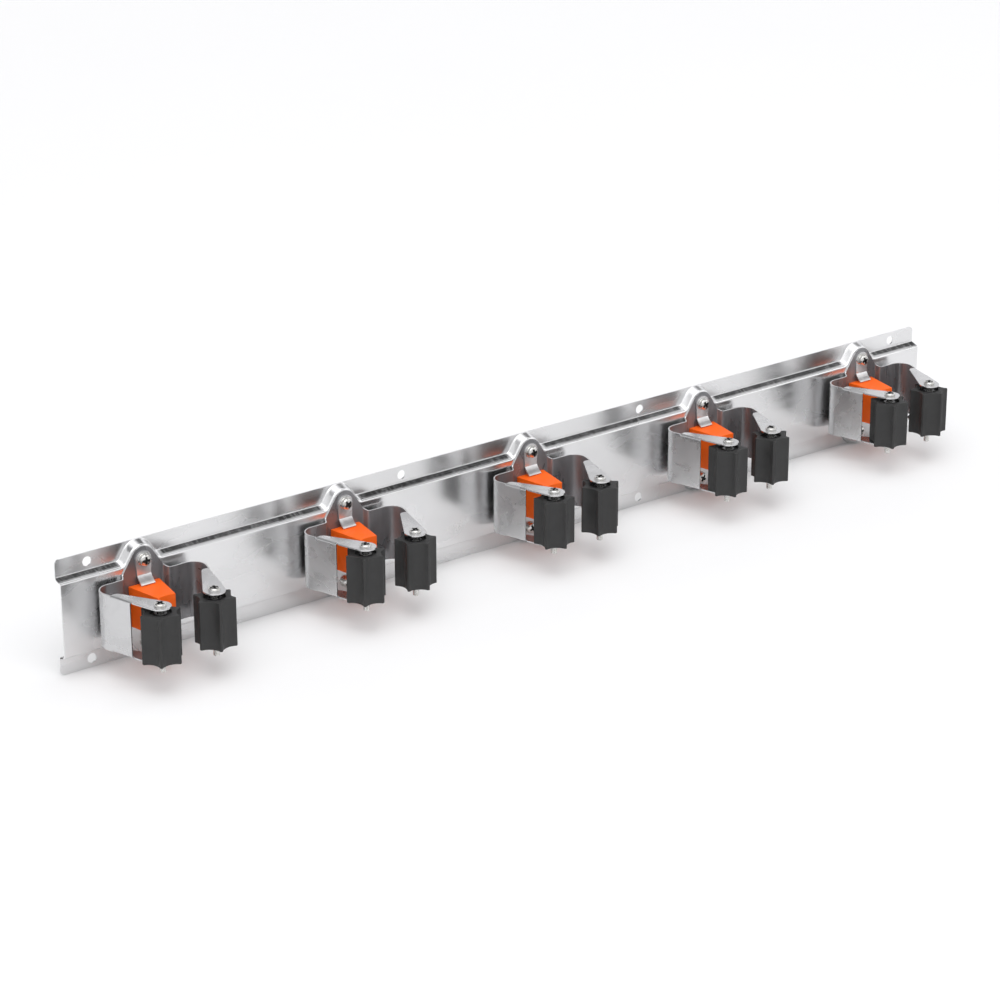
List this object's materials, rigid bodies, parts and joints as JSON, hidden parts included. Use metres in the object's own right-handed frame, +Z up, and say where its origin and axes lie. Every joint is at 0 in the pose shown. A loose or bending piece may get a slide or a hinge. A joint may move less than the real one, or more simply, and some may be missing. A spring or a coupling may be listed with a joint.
{
  "type": "tool holder rail",
  "caption": "Pressed steel wall rail with spring-steel clamps; each grips a tool's handle between an orange block and two ribbed rubber rollers.",
  "frame": {"origin": "on the wall plane, at the middle of the rectangle of the outer wall holes, which is also the middle of the rail", "axes": "+X along the rail, to the right as seen from the front; +Y into the wall; +Z up"},
  "size_m": [0.9, 0.0899, 0.096],
  "materials": {
    "rail_steel": "bright",
    "spring_steel": "bright",
    "clip_steel": "bright",
    "orange_plastic": "satin",
    "roller_rubber": "matte",
    "hub_plastic": "glossy",
    "zinc": "bright"
  },
  "bodies": {
    "frame": {"rail": "rail_steel", "bracket_1": "spring_steel", "bracket_2": "spring_steel", "bracket_3": "spring_steel", "bracket_4": "spring_steel", "bracket_5": "spring_steel", "block_1": "orange_plastic", "block_2": "orange_plastic", "block_3": "orange_plastic", "block_4": "orange_plastic", "block_5": "orange_plastic", "clip_1": "clip_steel", "clip_2": "clip_steel", "clip_3": "clip_steel", "clip_4": "clip_steel", "clip_5": "clip_steel", "axle_screws_1": "zinc", "axle_screws_2": "zinc", "axle_screws_3": "zinc", "axle_screws_4": "zinc", "axle_screws_5": "zinc", "upper_screws": "zinc", "lower_screws": "zinc", "upper_washers": "zinc", "lower_washers": "zinc", "upper_nuts": "zinc", "lower_nuts": "zinc"},
    "roller_1_left": {"roller_1_left": "roller_rubber", "hub_1_left": "hub_plastic"},
    "roller_1_right": {"roller_1_right": "roller_rubber", "hub_1_right": "hub_plastic"},
    "roller_2_left": {"roller_2_left": "roller_rubber", "hub_2_left": "hub_plastic"},
    "roller_2_right": {"roller_2_right": "roller_rubber", "hub_2_right": "hub_plastic"},
    "roller_3_left": {"roller_3_left": "roller_rubber", "hub_3_left": "hub_plastic"},
    "roller_3_right": {"roller_3_right": "roller_rubber", "hub_3_right": "hub_plastic"},
    "roller_4_left": {"roller_4_left": "roller_rubber", "hub_4_left": "hub_plastic"},
    "roller_4_right": {"roller_4_right": "roller_rubber", "hub_4_right": "hub_plastic"},
    "roller_5_left": {"roller_5_left": "roller_rubber", "hub_5_left": "hub_plastic"},
    "roller_5_right": {"roller_5_right": "roller_rubber", "hub_5_right": "hub_plastic"}
  },
  "joints": [
    {"name": "roller_1_left_spin", "type": "hinge", "parent": "frame", "child": "roller_1_left", "pos_m": [-0.40216, -0.07313, 0], "axis": [0, 0, 1], "continuous": true},
    {"name": "roller_1_right_spin", "type": "hinge", "parent": "frame", "child": "roller_1_right", "pos_m": [-0.35384, -0.07313, 0], "axis": [0, 0, 1], "continuous": true},
    {"name": "roller_2_left_spin", "type": "hinge", "parent": "frame", "child": "roller_2_left", "pos_m": [-0.21316, -0.07313, 0], "axis": [0, 0, 1], "continuous": true},
    {"name": "roller_2_right_spin", "type": "hinge", "parent": "frame", "child": "roller_2_right", "pos_m": [-0.16484, -0.07313, 0], "axis": [0, 0, 1], "continuous": true},
    {"name": "roller_3_left_spin", "type": "hinge", "parent": "frame", "child": "roller_3_left", "pos_m": [-0.02416, -0.07313, 0], "axis": [0, 0, 1], "continuous": true},
    {"name": "roller_3_right_spin", "type": "hinge", "parent": "frame", "child": "roller_3_right", "pos_m": [0.02416, -0.07313, 0], "axis": [0, 0, 1], "continuous": true},
    {"name": "roller_4_left_spin", "type": "hinge", "parent": "frame", "child": "roller_4_left", "pos_m": [0.16484, -0.07313, 0], "axis": [0, 0, 1], "continuous": true},
    {"name": "roller_4_right_spin", "type": "hinge", "parent": "frame", "child": "roller_4_right", "pos_m": [0.21316, -0.07313, 0], "axis": [0, 0, 1], "continuous": true},
    {"name": "roller_5_left_spin", "type": "hinge", "parent": "frame", "child": "roller_5_left", "pos_m": [0.35384, -0.07313, 0], "axis": [0, 0, 1], "continuous": true},
    {"name": "roller_5_right_spin", "type": "hinge", "parent": "frame", "child": "roller_5_right", "pos_m": [0.40216, -0.07313, 0], "axis": [0, 0, 1], "continuous": true}
  ]
}
